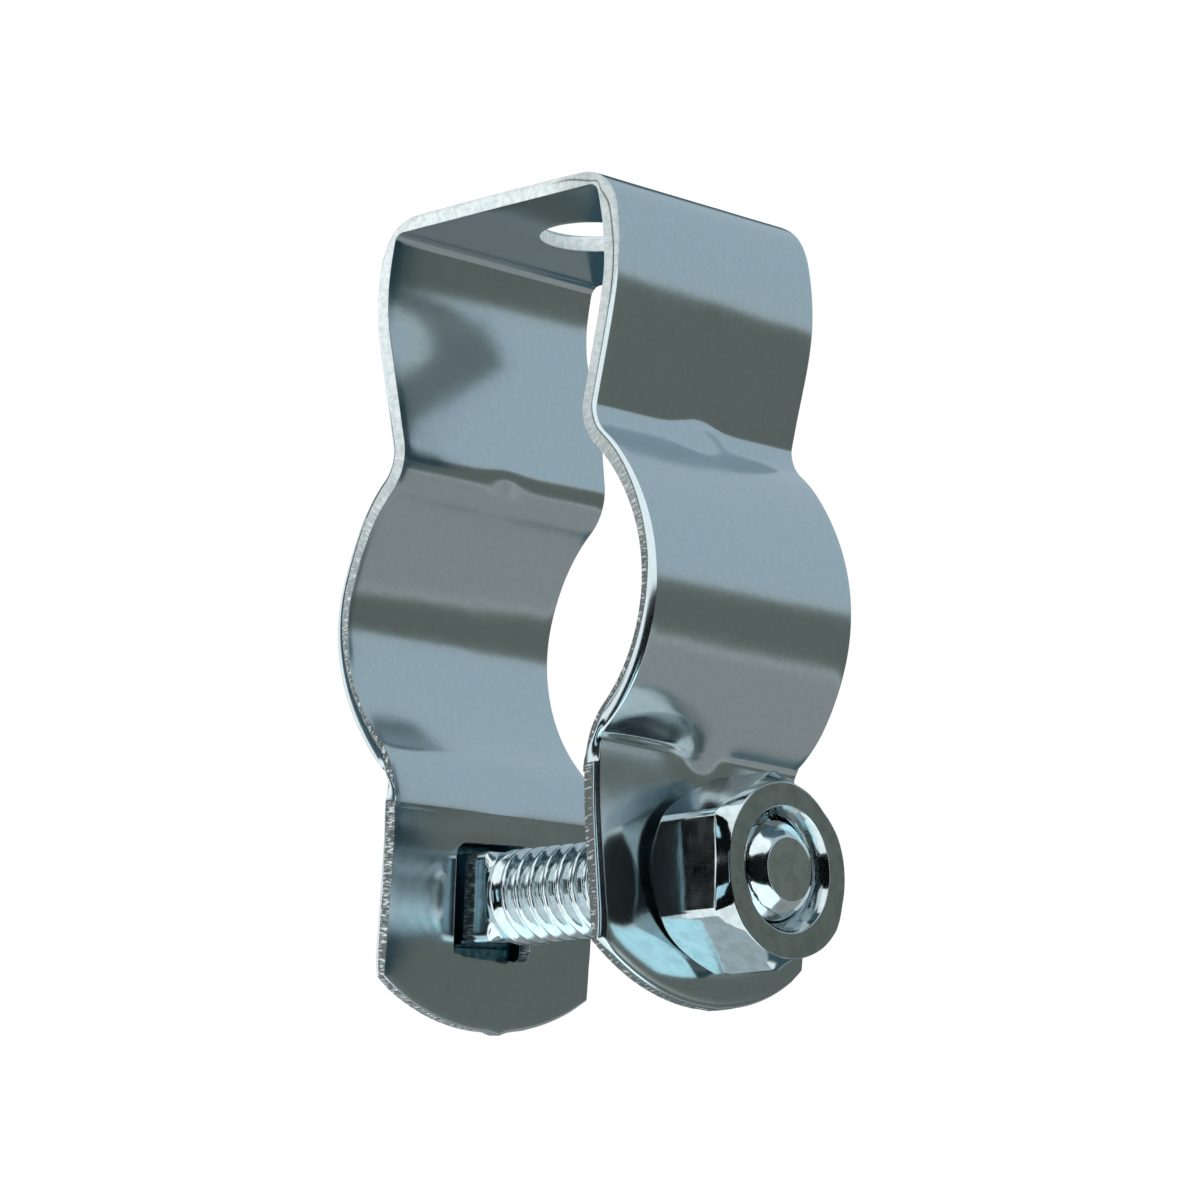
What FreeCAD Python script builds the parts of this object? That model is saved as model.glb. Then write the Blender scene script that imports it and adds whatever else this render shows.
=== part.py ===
import FreeCAD, Part
import math
import os
from FreeCAD import Vector

# Conduit clamp: a steel strip folded to a pear shape, hung by the hole in its top plate and drawn
# together round a conduit by a carriage bolt and a hex nut across its two tabs.
# Frame: the origin is the centre of the fixing hole on the top plate's outer face. +Z is up, the bolt
# lies along X with its nut at +X, and the conduit runs along Y. Millimetres.
# The strip is shown as it springs open before the nut is drawn up, so the tabs lean outwards.

# Strip
strip_width = 19.05
strip_thickness = 1.15

# Strip's inner face, as drops below the top plate's outer face and half gaps between the legs
top_half_gap = 9.2
bow_drop = 5.65
bow_half_gap = 10.15
waist_drop = 17.65
waist_half_gap = 7.7
lower_bend_drop = 36.5
lower_bend_half_gap = 8.05
tab_corner_drop = 50.15
tab_corner_half_gap = 9.25
jaw_radius = 10.9

# Bend radii: the pressing tool leaves the hollow side of a bend crisp and the other side round
top_bend_inner_radius = 0.8
top_bend_outer_radius = 3.2
bow_radius = 13.0
waist_inner_radius = 3.0
waist_outer_radius = 1.2
lower_bend_inner_radius = 3.0
lower_bend_outer_radius = 0.6
least_flat = 0.1

# Ends of the tabs, with the nib that shearing leaves
tab_end_rise = 3.3
left_tab_extra = 0.15
nib_height = 0.2
nib_width = 1.8
nib_offset = 1.1

# Dimples pressed across the waist and lower bends to stiffen them
dimple_width = 5.3
dimple_depth = 3.5
dimple_wall = 1.5

# Holes in the strip
fixing_hole_diameter = 7.14
neck_hole_height = 7.85
neck_hole_corner_radius = 1.0
bolt_hole_clearance = 0.4

# Carriage bolt, 1/4-20, with its thread left plain at the crest diameter
bolt_drop = 45.0
thread_diameter = 6.35
bolt_length = 27.9
bolt_tip_diameter = 4.2
bolt_tip_chamfer = 0.95
head_diameter = 14.3
head_rim = 0.5
head_dome = 2.9
neck_width = 5.95
neck_length = 4.2
neck_side_clearance = 0.525
neck_corner_radius = 0.5
neck_taper_length = 0.6
head_seat_clearance = 0.08

# Hex nut
nut_across_flats = 11.11
nut_height = 6.6
nut_ring_diameter = 10.88
nut_crown_height = 1.08
nut_seat_bevel = 1.05
nut_countersink_diameter = 8.0
nut_countersink_depth = 1.5
nut_seat_clearance = 0.04
thread_clearance = 0.05


def xz(x, z):
    return Vector(x, 0, z)


def turned(v, degrees):
    # v turned about Y, from +X towards +Z
    cosine = math.cos(math.radians(degrees))
    sine = math.sin(math.radians(degrees))
    return Vector(v.x * cosine - v.z * sine, 0, v.x * sine + v.z * cosine)


def line_meets_line(p, u, q, v):
    # Point where the line through p along u meets the line through q along v
    cross = u.x * v.z - u.z * v.x
    s = ((q.x - p.x) * v.z - (q.z - p.z) * v.x) / cross
    return p + u * s


def line_meets_circle(p, u, centre, radius):
    # The meeting point nearer to p of the line through p along u, a unit vector, with a circle
    away = p - centre
    along = away.dot(u)
    root = math.sqrt(max(along * along - away.dot(away) + radius * radius, 0.0))
    s = min(-along - root, -along + root, key=abs)
    return p + u * s


def jaw_centre():
    # Centre of the right jaw's arc, which runs from the waist to the lower bend
    waist = xz(waist_half_gap, -waist_drop)
    lower = xz(lower_bend_half_gap, -lower_bend_drop)
    chord = lower - waist
    inward = turned(chord, -90) * (1 / chord.Length)
    rise = math.sqrt(jaw_radius ** 2 - chord.Length ** 2 / 4)
    return (waist + lower) * 0.5 + inward * rise


def leg_corners(offset):
    # Corners of the right leg's face that lies the given offset outside the inner face:
    # top corner, bow, waist, jaw's middle, lower bend, tab's foot
    foot_drop = tab_corner_drop + tab_end_rise + nib_height + left_tab_extra
    lean = (tab_corner_half_gap - lower_bend_half_gap) / (tab_corner_drop - lower_bend_drop)
    inner = [
        xz(top_half_gap, -strip_thickness),
        xz(bow_half_gap, -bow_drop),
        xz(waist_half_gap, -waist_drop),
        xz(lower_bend_half_gap, -lower_bend_drop),
        xz(lower_bend_half_gap + lean * (foot_drop - lower_bend_drop), -foot_drop),
    ]
    centre = jaw_centre()
    radius = jaw_radius + offset

    def side(i, j):
        along = (inner[j] - inner[i]).normalize()
        return inner[i] + turned(along, 90) * offset, along

    upper, upper_along = side(0, 1)
    leg, leg_along = side(1, 2)
    tab, tab_along = side(3, 4)
    top = line_meets_line(xz(0, offset - strip_thickness), Vector(1, 0, 0), upper, upper_along)
    bow = line_meets_line(upper, upper_along, leg, leg_along)
    waist = line_meets_circle(inner[2] + turned(leg_along, 90) * offset, leg_along, centre, radius)
    lower = line_meets_circle(tab, tab_along, centre, radius)
    foot = line_meets_line(tab, tab_along, inner[4], Vector(1, 0, 0))
    middle = centre + ((waist + lower) * 0.5 - centre).normalize() * radius
    return top, bow, waist, middle, lower, foot


def mirrored(p):
    return Vector(-p.x, p.y, p.z)


def pear(corners, radii):
    # Solid inside one face of the strip: the pear-shaped outline drawn out along Y, its bends rounded
    top, bow, waist, middle, lower, foot = corners
    left = [mirrored(p) for p in corners]
    outline = Part.Wire([
        Part.LineSegment(left[5], left[4]).toShape(),
        Part.Arc(left[4], left[3], left[2]).toShape(),
        Part.LineSegment(left[2], left[1]).toShape(),
        Part.LineSegment(left[1], left[0]).toShape(),
        Part.LineSegment(left[0], top).toShape(),
        Part.LineSegment(top, bow).toShape(),
        Part.LineSegment(bow, waist).toShape(),
        Part.Arc(waist, middle, lower).toShape(),
        Part.LineSegment(lower, foot).toShape(),
        Part.LineSegment(foot, left[5]).toShape(),
    ])
    profile = Part.Face(outline)
    profile.translate(Vector(0, -strip_width / 2, 0))
    solid = profile.extrude(Vector(0, strip_width, 0))
    for corner, radius in zip((top, bow, waist, lower), radii):
        solid = solid.makeFillet(radius, bend_edges(solid, corner))
    return solid


def bend_edges(solid, corner):
    # The solid's edges that run along Y through a corner of its profile, on both legs
    found = []
    for edge in solid.Edges:
        middle = edge.BoundBox.Center
        at_corner = abs(abs(middle.x) - corner.x) < 0.01 and abs(middle.z - corner.z) < 0.01
        if at_corner and edge.BoundBox.YLength > strip_width / 2:
            found.append(edge)
    return found


def inside_of_strip():
    radii = (top_bend_inner_radius, bow_radius, waist_inner_radius, lower_bend_inner_radius)
    return pear(leg_corners(0.0), radii)


def bend_tangent(before, corner, after):
    # Length that a bend of radius 1 takes from the flat on each side of its corner
    return math.tan((corner - before).getAngle(after - corner) / 2)


def outside_of_strip():
    corners = leg_corners(strip_thickness)
    top, bow, waist = corners[:3]
    bow_outer_radius = bow_radius + strip_thickness
    # The top bend is as round as the flat between it and the bow leaves room for
    room = (bow - top).Length - bow_outer_radius * bend_tangent(top, bow, waist) - least_flat
    top_outer_radius = min(top_bend_outer_radius, room / bend_tangent(mirrored(top), top, bow))
    return pear(corners, (top_outer_radius, bow_outer_radius, waist_outer_radius, lower_bend_outer_radius))


def dimple_centre(corner, before, after):
    # The dimple's ball sits behind the outer corner, on the bisector of the bend
    bisector = ((before - corner).normalize() + (after - corner).normalize()).normalize()
    return corner - bisector * dimple_depth


def pressed_dimples(strip, inside):
    # A ball across each bend: it swells the hollow side, and a smaller one dents the other side
    top, bow, waist, middle, lower, foot = leg_corners(strip_thickness)
    centre = jaw_centre()
    at_waist = turned(waist - centre, -90)
    at_lower = turned(lower - centre, 90)
    ball_radius = math.hypot(dimple_width / 2, dimple_depth)
    places = [
        dimple_centre(waist, bow, waist + at_waist),
        dimple_centre(lower, lower + at_lower, foot),
    ]
    for place in places + [mirrored(p) for p in places]:
        strip = strip.fuse(Part.makeSphere(ball_radius, place).cut(inside))
        strip = strip.cut(Part.makeSphere(ball_radius - dimple_wall, place))
    return strip


def yz(y, z):
    return Vector(0, y, z)


def tab_blank(side, extra):
    # Region that one leg may fill: straight sides, and a foot rounded to an arc with a small nib
    half = strip_width / 2
    corner = -tab_corner_drop - extra
    low = corner - tab_end_rise
    high = strip_thickness
    reach = 2 * (bow_half_gap + jaw_radius)
    rim = Part.Wire([
        Part.Arc(yz(-half, corner), yz(0, low), yz(half, corner)).toShape(),
        Part.LineSegment(yz(half, corner), yz(half, high)).toShape(),
        Part.LineSegment(yz(half, high), yz(-half, high)).toShape(),
        Part.LineSegment(yz(-half, high), yz(-half, corner)).toShape(),
    ])
    blank = Part.Face(rim).extrude(Vector(side * reach, 0, 0))
    nib_root = low + tab_end_rise / 2
    nib = Part.makePolygon([
        yz(nib_offset - nib_width / 2, nib_root),
        yz(nib_offset - nib_width / 4, low - nib_height),
        yz(nib_offset + nib_width / 2, nib_root),
        yz(nib_offset - nib_width / 2, nib_root),
    ])
    return blank.fuse(Part.Face(nib).extrude(Vector(side * reach, 0, 0)))


def neck_hole():
    # Rounded rectangle through the left tab, round the bolt's square neck
    width = neck_width + 2 * neck_side_clearance
    reach = 2 * tab_corner_half_gap
    corner = Vector(-reach, -width / 2, -bolt_drop - neck_hole_height / 2)
    block = Part.makeBox(reach, width, neck_hole_height, corner)
    return block.makeFillet(neck_hole_corner_radius, edges_along_x(block, reach / 2))


def edges_along_x(solid, least):
    return [edge for edge in solid.Edges if edge.BoundBox.XLength > least]


def make_strap():
    inside = inside_of_strip()
    strap = pressed_dimples(outside_of_strip().cut(inside), inside)
    strap = strap.common(tab_blank(1, 0.0).fuse(tab_blank(-1, left_tab_extra)))
    fixing_hole_foot = xz(0, -2 * strip_thickness)
    fixing_hole = Part.makeCylinder(fixing_hole_diameter / 2, 3 * strip_thickness, fixing_hole_foot)
    bolt_hole_radius = thread_diameter / 2 + bolt_hole_clearance
    bolt_hole = Part.makeCylinder(bolt_hole_radius, 2 * tab_corner_half_gap, xz(0, -bolt_drop), Vector(1, 0, 0))
    return strap.cut(fixing_hole).cut(neck_hole()).cut(bolt_hole).removeSplitter()


def tab_outer_face(drop):
    # How far a tab's outer face lies from the middle, at a drop below the top
    top, bow, waist, middle, lower, foot = leg_corners(strip_thickness)
    return lower.x + (foot.x - lower.x) * (-drop - lower.z) / (foot.z - lower.z)


def turned_solid(points):
    # Solid of revolution about the bolt's axis, from (x, radius) points; a third value bulges the edge
    edges = []
    for first, second in zip(points, points[1:] + points[:1]):
        start = xz(first[0], first[1])
        end = xz(second[0], second[1])
        if len(first) == 3:
            edges.append(Part.Arc(start, xz(first[2][0], first[2][1]), end).toShape())
        else:
            edges.append(Part.LineSegment(start, end).toShape())
    face = Part.Face(Part.Wire(edges))
    solid = face.revolve(Vector(0, 0, 0), Vector(1, 0, 0), 360)
    solid.translate(xz(0, -bolt_drop))
    return solid


def make_carriage_bolt():
    head_radius = head_diameter / 2
    seat = -tab_outer_face(bolt_drop + head_radius) - head_seat_clearance
    tip = seat + bolt_length
    rim = seat - head_rim
    dome_radius = (head_radius ** 2 + head_dome ** 2) / (2 * head_dome)
    half_angle = math.asin(head_radius / dome_radius) / 2
    dome_middle = (
        rim - head_dome + dome_radius * (1 - math.cos(half_angle)),
        dome_radius * math.sin(half_angle),
    )
    shank = thread_diameter / 2
    body = turned_solid([
        (rim - head_dome, 0, dome_middle),
        (rim, head_radius),
        (seat, head_radius),
        (seat, shank),
        (tip - bolt_tip_chamfer, shank),
        (tip, bolt_tip_diameter / 2),
        (tip, 0),
    ])
    neck_end = seat + neck_length
    neck_corner = Vector(seat, -neck_width / 2, -bolt_drop - neck_width / 2)
    neck = Part.makeBox(neck_length, neck_width, neck_width, neck_corner)
    neck = neck.makeFillet(neck_corner_radius, edges_along_x(neck, neck_length / 2))
    corner_radius = neck_width / math.sqrt(2)
    taper = turned_solid([
        (seat, 0),
        (seat, corner_radius),
        (neck_end - neck_taper_length, corner_radius),
        (neck_end, shank),
        (neck_end, 0),
    ])
    return body.fuse(neck.common(taper)).removeSplitter()


def about_bolt(x, radius, degrees):
    # Point at a distance x along the bolt's axis and a radius from it, turned from straight up
    angle = math.radians(degrees)
    return Vector(x, radius * math.sin(angle), radius * math.cos(angle) - bolt_drop)


def hexagon(x, across_flats):
    # Hexagonal wire across the bolt's axis, with corners at the top and bottom
    return Part.makePolygon([about_bolt(x, across_flats / math.sqrt(3), 60 * i) for i in range(7)])


def ring_of_arcs(x, radius):
    # A circle in six arcs that start where a hexagon has its corners
    arcs = []
    for start in range(0, 360, 60):
        points = [about_bolt(x, radius, start + step) for step in (0, 30, 60)]
        arcs.append(Part.Arc(*points).toShape())
    return Part.Wire(arcs)


def make_hex_nut():
    ring = nut_ring_diameter / 2
    seat = tab_outer_face(bolt_drop + ring) + nut_seat_clearance
    crown = seat + nut_height - nut_crown_height
    face = seat + nut_height
    prism = Part.Face(hexagon(seat, nut_across_flats)).extrude(Vector(crown - seat, 0, 0))
    corner = nut_across_flats / math.sqrt(3)
    bevel = turned_solid([
        (seat, 0),
        (seat, ring),
        (seat + nut_seat_bevel, corner),
        (crown, corner),
        (crown, 0),
    ])
    cap = Part.makeLoft([hexagon(crown, nut_across_flats), ring_of_arcs(face, ring)], True, True)
    bore = thread_diameter / 2 + thread_clearance
    countersink = nut_countersink_diameter / 2
    hollow = turned_solid([
        (seat - bore, 0),
        (seat - bore, bore),
        (face - nut_countersink_depth, bore),
        (face, countersink),
        (face + bore, countersink),
        (face + bore, 0),
    ])
    return prism.common(bevel).fuse(cap).cut(hollow).removeSplitter()


def save(name, shape):
    if len(shape.Solids) == 1:
        shape = shape.Solids[0]
    shape.exportStep("parts/" + name + ".step")
    box = shape.BoundBox
    print(name, shape.ShapeType, "solids", len(shape.Solids), "valid", shape.isValid(),
          "volume", round(shape.Volume, 2),
          "box", [round(v, 2) for v in (box.XMin, box.YMin, box.ZMin, box.XMax, box.YMax, box.ZMax)])


os.makedirs("parts", exist_ok=True)
save("strap", make_strap())
save("carriage_bolt", make_carriage_bolt())
save("hex_nut", make_hex_nut())
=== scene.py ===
import math
import bpy
import numpy as np
from mathutils import Matrix


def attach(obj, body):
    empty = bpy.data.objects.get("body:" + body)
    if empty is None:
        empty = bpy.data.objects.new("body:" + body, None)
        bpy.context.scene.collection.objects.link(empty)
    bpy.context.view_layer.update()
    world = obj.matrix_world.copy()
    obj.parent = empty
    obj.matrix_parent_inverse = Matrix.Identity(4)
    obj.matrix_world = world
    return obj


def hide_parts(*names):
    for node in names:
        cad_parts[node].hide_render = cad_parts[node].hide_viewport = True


# Conduit clamp in bright zinc: a folded strip, its carriage bolt and its hex nut.
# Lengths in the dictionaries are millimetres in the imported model's frame, unless a note says otherwise.

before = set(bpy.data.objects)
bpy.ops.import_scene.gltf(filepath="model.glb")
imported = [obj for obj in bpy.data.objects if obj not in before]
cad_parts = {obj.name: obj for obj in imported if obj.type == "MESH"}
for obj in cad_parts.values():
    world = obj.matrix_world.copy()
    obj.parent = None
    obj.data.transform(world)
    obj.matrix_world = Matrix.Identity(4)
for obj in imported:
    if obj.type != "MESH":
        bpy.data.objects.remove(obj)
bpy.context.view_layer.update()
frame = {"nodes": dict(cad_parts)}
mm = 0.001
uvUnit = 100  # millimetres of sheet to one unit of the UV map
print("frame loaded:", ", ".join(frame["nodes"]))

# Helpers


def ease(t):
    # Smooth step: 3t^2 - 2t^3 between 0 and 1
    t = np.clip(t, 0, 1)
    return t * t * (3 - 2 * t)


def softMax(a, b, k):
    # The greater of two heights with its crease rounded over about k
    return (a + b + np.sqrt((a - b) ** 2 + k * k)) / 2


def softMin(a, b, k):
    return -softMax(-a, -b, k)


def ripple(u, seed):
    # Noise along a line: random heights at the whole numbers with smooth steps between, -1 to 1
    heights = np.random.default_rng(seed).uniform(-1, 1, 1024)
    cell = np.floor(u).astype(int)
    part = ease(u - cell)
    return heights[cell % 1024] * (1 - part) + heights[(cell + 1) % 1024] * part


def mottle(u, v, seed):
    # The same over a plane: random heights at whole-number crossings, blended both ways
    heights = np.random.default_rng(seed).uniform(-1, 1, (256, 256))
    cu, cv = np.floor(u).astype(int), np.floor(v).astype(int)
    pu, pv = ease(u - cu), ease(v - cv)

    def blend(row):
        return heights[cu % 256, row % 256] * (1 - pu) + heights[(cu + 1) % 256, row % 256] * pu

    return blend(cv) * (1 - pv) + blend(cv + 1) * pv


def placeObject(name, data):
    thing = bpy.data.objects.new(name, data)
    bpy.context.scene.collection.objects.link(thing)
    return thing


def makePiece(name, points, faceSets, creaseAngle):
    # faceSets holds (corner indices, corner uv, material slot) for equal-sided faces
    faces, uvs, slots = zip(*faceSets)
    counts = [len(f) for f in faces]
    corners = np.concatenate([f.ravel() for f in faces])
    sizes = np.repeat([f.shape[1] for f in faces], counts)
    starts = np.cumsum(sizes) - sizes
    mesh = bpy.data.meshes.new(name)
    mesh.vertices.add(len(points))
    mesh.vertices.foreach_set("co", (points * mm).astype(np.float32).ravel())
    mesh.loops.add(len(corners))
    mesh.loops.foreach_set("vertex_index", corners.astype(np.int32))
    mesh.polygons.add(len(sizes))
    mesh.polygons.foreach_set("loop_start", starts.astype(np.int32))
    mesh.polygons.foreach_set("material_index", np.repeat(slots, counts).astype(np.int32))
    mesh.update(calc_edges=True)
    uvs = np.concatenate([uv.ravel() for uv in uvs]).astype(np.float32)
    mesh.uv_layers.new(name="surface").data.foreach_set("uv", uvs)
    mesh.shade_smooth()
    mesh.set_sharp_from_angle(angle=math.radians(creaseAngle))
    return placeObject(name, mesh)


def gridFaces(index):
    # Four corners of every cell of a grid of vertex numbers, rows first
    return np.stack([index[:-1, :-1], index[1:, :-1], index[1:, 1:], index[:-1, 1:]], axis=-1)


# Camera

cameraSet = {
    "place": (209.299, -217.853, -83.825),
    "azimuth": 43.754,
    "elevation": -10.885,
    "roll": 0.383,
    "lens": 140.68,
    "sensor": 36,
    "clipStart": 10,
}


def makeCamera(s):
    # Back points from the object to the lens; right and up stand square to it and turn by the roll
    az, el, roll = (math.radians(s[k]) for k in ("azimuth", "elevation", "roll"))
    back = np.array([math.sin(az) * math.cos(el), -math.cos(az) * math.cos(el), math.sin(el)])
    right = np.cross(-back, [0, 0, 1])
    right /= np.linalg.norm(right)
    up = np.cross(back, right)
    cos, sin = math.cos(roll), math.sin(roll)
    place = np.eye(4)
    place[:3] = np.stack([cos * right + sin * up, cos * up - sin * right, back, np.array(s["place"]) * mm],
                         axis=1)
    data = bpy.data.cameras.new("camera")
    data.lens = s["lens"]
    data.sensor_width = s["sensor"]
    data.clip_start = s["clipStart"] * mm
    camera = placeObject("camera", data)
    camera.matrix_world = Matrix(place.tolist())
    bpy.context.scene.camera = camera


makeCamera(cameraSet)
print("camera placed")

# Strap

strap = {
    "width": 19.05,
    "thickness": 1.15,
    "topHalfGap": 9.2,
    "bow": (10.15, -5.65),
    "waist": (7.7, -17.65),
    "lowerBend": (8.05, -36.5),
    "tabCorner": (9.25, -50.15),
    "jawRadius": 10.9,
    "innerRadii": {"top": 0.8, "bow": 13.0, "waist": 3.4, "lower": 5.0},
    "outerRadii": {"top": 3.2, "bow": 14.15, "waist": 2.4, "lower": 0.7},
    # Feet: lowest point's y and z, radius, and the nib's place, half width and height
    "rightFoot": (0.25, -53.34, 15.0, 0.9, 0.7, 0.05),
    "leftFoot": (0.03, -53.55, 17.2, 1.3, 0.9, 0.22),
    "fixingHoleRadius": 3.57,
    "boltHoleRadius": 3.575,
    "neckHole": (3.5, 3.925, 1.0, 3.0),  # half width, half height, corner radius, turn in degrees
    "boltDrop": 45.0,
    # Radius, then depth and crease at the waist and at the lower bend
    "dimple": {"radius": 4.39, "depth": (3.5, 3.75), "crease": (0.4, 0.6)},
    "dent": {"radius": 3.2, "depth": (0.75, 0.75), "crease": (0.35, 0.35)},
    # Springback and wear of the press: leg, height, spread, lift at front and back, push at front and back
    "strain": [
        (1, -17.6, 3, 0.42, 0.5, 0, 0),
        (-1, -17.6, 3, 0.1, 0.1, 0, 0),
        (-1, -22.5, 3.2, 0, 0, -0.28, -0.1),
        (1, -37, 3, 0.3, -0.1, 0.34, 0.34),
        (-1, -38.3, 2.6, -0.5, -0.2, 0.25, 0.2),
        (1, -9.5, 3.3, 0, 0, 0.12, 0.28),
        (-1, -11, 4.5, 0, 0, 0, -0.6),
    ],
    # The faces end short of the rims, where the walls take over
    "innerInset": 0.09,
    "outerInset": 0.3,
    "rimFall": (0.03, 0.3),  # the faces fall by this much beside a rim, over about this distance
    "footRoll": (0.36, 2.4),  # depth and reach of the outer face's fall towards the foot
    "topSag": (0.013, 0.04, 9.0, 3.0),  # fall of the top's outer face, more at its bends, its reach and fade
    # Hollow that the press leaves above the right lower bend: middle's y, half width, height, depth, fade
    "hollow": (-4.6, 4.6, 3.6, 0.2, 1.1),
    # Waves of the sheet: height, length along and across, start, seed
    "waves": [(0.01, 3.1, 2.6, 40, 5), (0.003, 1.3, 1.5, 90, 6)],
    # The shear's roll is wider at the top and on the tabs: distance from the top's middle, and width
    "rollWidths": [(0, 0.56), (9, 0.56), (14, 0.34), (28, 0.3), (44, 0.36), (50, 0.42), (60, 0.56),
                   (66, 0.62)],
    "rollDepth": 0.75,  # depth of the roll as a share of its width
    "rollReach": 0.9,  # columns this near to a side follow the roll's width
    "chalkyFrom": (-12.0, -3.0),  # heights between which the rolled front edge turns from bright to chalky
    "chalkyUneven": (0.15, 7),  # how uneven that change is, and over how many points
    "landDrop": 0.045,  # the torn land lies this far within the strip's full width
    "ridgeDrop": 0.014,  # and its ridged part this much further
    # Ridges of the torn land: height, spacing, start, drift from roll to burr, seed
    "ridges": [(0.012, 0.2, 0, 0, 21), (0.008, 0.7, 7, 0, 22), (0.006, 0.5, 0, 3, 28)],
    "crack": (0.1, 0.07, 0.03),  # its place and half width as shares of the land, and its depth
    "crackWander": (0.05, 2.3, 3.7),  # how far its place strays, over what length, and its gaps' length
    "burr": (0.93, 0.07, 0.008),  # the same, and its height
    "holeTear": 0.3,  # how rough the holes' walls are against the strip's own edge
    # Grid: the flat of the top is split past the fixing hole, and a tab has its own rows from the first
    # height down; its path runs on to the second
    "topSplit": 6.3,
    "tabSpan": (-38.8, -56.0),
    "rowStep": 0.22,
    "bendRows": 9,
    "tabRows": 82,
    "rimColumns": (0, 0.08, 0.2, 0.38, 0.62),  # from the inset inwards
    "plainColumns": (1.25, 37),  # first one's distance from the side, and how many
    # Windows in the grid for the holes' rings of cells: rows, or half length, and columns
    "topWindow": (5.9, 9, 36),
    "tabWindow": (9, 56, 9, 37),
    "holeRings": (12, 1.8),  # how many, and how they crowd towards the rim
    "rollRows": 8,
    "landRows": (0.04, 0.1, 0.18, 0.3, 0.45, 0.6, 0.75, 0.87, 0.94, 0.975),
}


def lineRun(a, b):
    return a + (b - a) * np.linspace(0, 1, 60)[:, None]


def arcRun(centre, a, b):
    # Points on the shorter arc from a to b about a centre
    first = math.atan2(*(a - centre)[::-1])
    swing = (math.atan2(*(b - centre)[::-1]) - first + math.pi) % (2 * math.pi) - math.pi
    angle = first + swing * np.linspace(0, 1, 400)
    return centre + np.linalg.norm(a - centre) * np.stack([np.cos(angle), np.sin(angle)], axis=1)


def jawCentre(s):
    # The jaw's circle passes through the waist and the lower bend, with its middle between the legs
    waist, lower = np.array(s["waist"]), np.array(s["lowerBend"])
    chord = lower - waist
    length = np.linalg.norm(chord)
    inward = np.array([chord[1], -chord[0]]) / length
    return (waist + lower) / 2 + inward * math.sqrt(s["jawRadius"] ** 2 - length ** 2 / 4)


def legLines(s, offset):
    # Straight runs of the right leg's face at an offset from the inner face, as point and direction
    knots = [np.array(k) for k in (
        (s["topHalfGap"], -s["thickness"]), s["bow"], s["waist"], s["lowerBend"], s["tabCorner"])]
    lines = [(np.array([0.0, offset - s["thickness"]]), np.array([1.0, 0.0]))]
    for i, j in ((0, 1), (1, 2), (3, 4)):
        way = (knots[j] - knots[i]) / np.linalg.norm(knots[j] - knots[i])
        lines.append((knots[i] + np.array([-way[1], way[0]]) * offset, way))
    return lines


def bendBetween(p, u, q, v, radius):
    # Arc of a radius that touches two lines, on the inner side of the corner between them
    cross = u[0] * v[1] - u[1] * v[0]
    corner = p + u * (((q[0] - p[0]) * v[1] - (q[1] - p[1]) * v[0]) / cross)
    turn = math.acos(np.clip(np.dot(u, v), -1, 1))
    reach = radius * math.tan(turn / 2)
    centre = corner - u * reach - radius * np.array([-u[1], u[0]])
    return corner - u * reach, corner + v * reach, centre


def circleHit(p, u, centre, radius, sign):
    # Where the line through centre + p along u crosses a circle about the centre; sign picks which
    root = math.sqrt(np.dot(p, u) ** 2 - np.dot(p, p) + radius ** 2)
    return centre + p + u * (-np.dot(p, u) + sign * root)


def bendToJaw(p, u, centre, jaw, radius, sign):
    # Arc that touches a line and the jaw's circle from outside; sign picks the crossing
    out = np.array([-u[1], u[0]])
    middle = circleHit(p + out * radius - centre, u, centre, jaw + radius, sign)
    return middle - out * radius, centre + (middle - centre) * jaw / (jaw + radius), middle


def legFace(s, offset, radii):
    # The right leg's face as runs of points: flats and bends from the top's middle to past the foot
    (pt, ut), (pu, uu), (pl, ul), (pb, ub) = legLines(s, offset)
    centre, jaw = jawCentre(s), s["jawRadius"] + offset
    topA, topB, topC = bendBetween(pt, ut, pu, uu, radii["top"])
    bowA, bowB, bowC = bendBetween(pu, uu, pl, ul, radii["bow"])
    waistA, waistB, waistC = bendToJaw(pl, ul, centre, jaw, radii["waist"], -1)
    lowB, lowA, lowC = bendToJaw(pb, ub, centre, jaw, radii["lower"], 1)
    split = np.array([s["topSplit"], pt[1]])
    tabTop, tabEnd = (pb + ub * (z - pb[1]) / ub[1] for z in s["tabSpan"])
    return [
        lineRun(np.array([0.0, pt[1]]), split), lineRun(split, topA), arcRun(topC, topA, topB),
        lineRun(topB, bowA), arcRun(bowC, bowA, bowB), lineRun(bowB, waistA),
        arcRun(waistC, waistA, waistB), arcRun(centre, waistB, lowA), arcRun(lowC, lowA, lowB),
        lineRun(lowB, tabTop), lineRun(tabTop, tabEnd),
    ]


def legPaths(s):
    # Outer and inner faces of the right leg against one measure t, the mean of their lengths
    outer = legFace(s, s["thickness"], s["outerRadii"])
    inner = legFace(s, 0.0, s["innerRadii"])
    t, outs, ins, marks = [np.zeros(1)], [outer[0][:1]], [inner[0][:1]], [0.0]
    for a, b in zip(outer, inner):
        length = sum(np.linalg.norm(np.diff(r, axis=0), axis=1).sum() for r in (a, b)) / 2
        t.append(marks[-1] + length * np.linspace(0, 1, len(a))[1:])
        outs.append(a[1:])
        ins.append(b[1:])
        marks.append(marks[-1] + length)
    t, outs, ins = np.concatenate(t), np.concatenate(outs), np.concatenate(ins)

    def outward(run):
        way = np.gradient(run, t, axis=0)
        way /= np.linalg.norm(way, axis=1)[:, None]
        return np.stack([-way[:, 1], way[:, 0]], axis=1)

    return {"t": t, "marks": marks, "outer": outs, "inner": ins,
            "outerOut": outward(outs), "innerOut": outward(ins)}


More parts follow.
